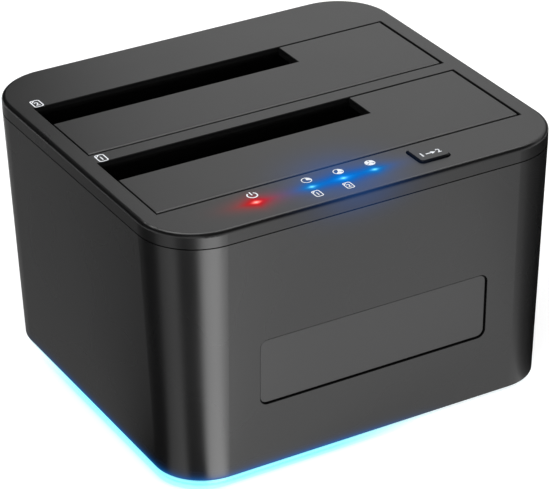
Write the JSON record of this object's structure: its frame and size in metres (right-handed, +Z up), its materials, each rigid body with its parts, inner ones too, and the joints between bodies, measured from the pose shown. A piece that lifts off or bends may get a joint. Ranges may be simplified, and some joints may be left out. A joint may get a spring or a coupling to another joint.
{
  "type": "drive duplicator",
  "caption": "Desk-top dock with sprung flaps over its drive bays, a copy button, progress lamps and a light ring, for copying one bare drive to another.",
  "frame": {"origin": "on the floor, under the middle of the footprint", "axes": "+X to the right seen from the front, +Y to the back where the ports are, +Z up"},
  "size_m": [0.1146, 0.1044, 0.073],
  "materials": {
    "case_black": "fine satin moulded black",
    "plate_black": "satin black insert",
    "flap_black": "fine satin moulded black",
    "well_black": "dull black moulding",
    "switch_black": "smooth black",
    "connector_black": "dull black moulding",
    "chip_black": "moulded epoxy",
    "foot_rubber": "soft black rubber",
    "light_guide": "frosted light guide, lit blue",
    "lens_red": "clear lens, lit red",
    "lens_blue": "clear lens, lit blue",
    "lamp_white": "small lamp body",
    "board_green": "green solder mask",
    "coil_grey": "pressed ferrite",
    "capacitor_aluminium": "drawn can",
    "shell_nickel": "nickel-plated",
    "screw_steel": "black zinc-plated",
    "pin_steel": "drawn steel rod",
    "spring_steel": "spring wire",
    "contact_gold": "gold-plated",
    "tongue_blue": "moulded blue insulator",
    "header_white": "moulded nylon",
    "print_white": "printed marks",
    "ribbon_white": "flat cable"
  },
  "bodies": {
    "case": {"top_cover": "case_black", "housing": "case_black", "front_plate": "plate_black", "base_plate": "case_black", "light_ring": "light_guide", "foot_front_left": "foot_rubber", "foot_rear_left": "foot_rubber", "foot_front_right": "foot_rubber", "foot_rear_right": "foot_rubber", "main_board": "board_green", "base_screws": "screw_steel", "board_screws": "screw_steel", "lamp_board_screws": "screw_steel", "ring_lamps": "lamp_white", "rear_drive_guide": "well_black", "front_drive_guide": "well_black", "rear_connector": "connector_black", "front_connector": "connector_black", "rear_contacts": "contact_gold", "front_contacts": "contact_gold", "rear_flap_pin": "pin_steel", "front_flap_pin": "pin_steel", "rear_flap_spring": "spring_steel", "front_flap_spring": "spring_steel", "bridge_chips": "chip_black", "capacitors": "capacitor_aluminium", "power_coils": "coil_grey", "crystal": "shell_nickel", "usb_port": "shell_nickel", "usb_tongue": "tongue_blue", "power_jack": "connector_black", "jack_pin": "shell_nickel", "power_switch": "switch_black", "push_switch": "switch_black", "lamp_board": "board_green", "front_lamps": "lamp_white", "power_lens": "lens_red", "progress_lenses": "lens_blue", "ribbon_headers": "header_white", "ribbon": "ribbon_white"},
    "rear_flap": {"rear_flap": "flap_black"},
    "front_flap": {"front_flap": "flap_black"},
    "copy_button": {"copy_button": "flap_black", "push_switch_plunger": "switch_black"},
    "power_rocker": {"power_rocker": "switch_black"}
  },
  "joints": [
    {"name": "rear_flap_hinge", "type": "hinge", "parent": "case", "child": "rear_flap", "pos_m": [0, 0.00215, 0.0696], "axis": [-1, 0, 0], "range_deg": [0, 88], "stiffness_Nm_per_rad": 0.006, "springref_deg": -68.75, "deforming": ["rear_flap_spring"]},
    {"name": "front_flap_hinge", "type": "hinge", "parent": "case", "child": "front_flap", "pos_m": [0, -0.03415, 0.0696], "axis": [-1, 0, 0], "range_deg": [0, 88], "stiffness_Nm_per_rad": 0.006, "springref_deg": -68.75, "deforming": ["front_flap_spring"]},
    {"name": "copy_button_press", "type": "slide", "parent": "case", "child": "copy_button", "axis": [0, 0, -1], "range_m": [0, 0.0004], "stiffness_N_per_m": 600, "springref_m": -0.001},
    {"name": "power_rocker_tilt", "type": "hinge", "parent": "case", "child": "power_rocker", "pos_m": [0.03, 0.04693, 0.0156], "axis": [0, 0, -1], "range_deg": [0, 12]}
  ]
}
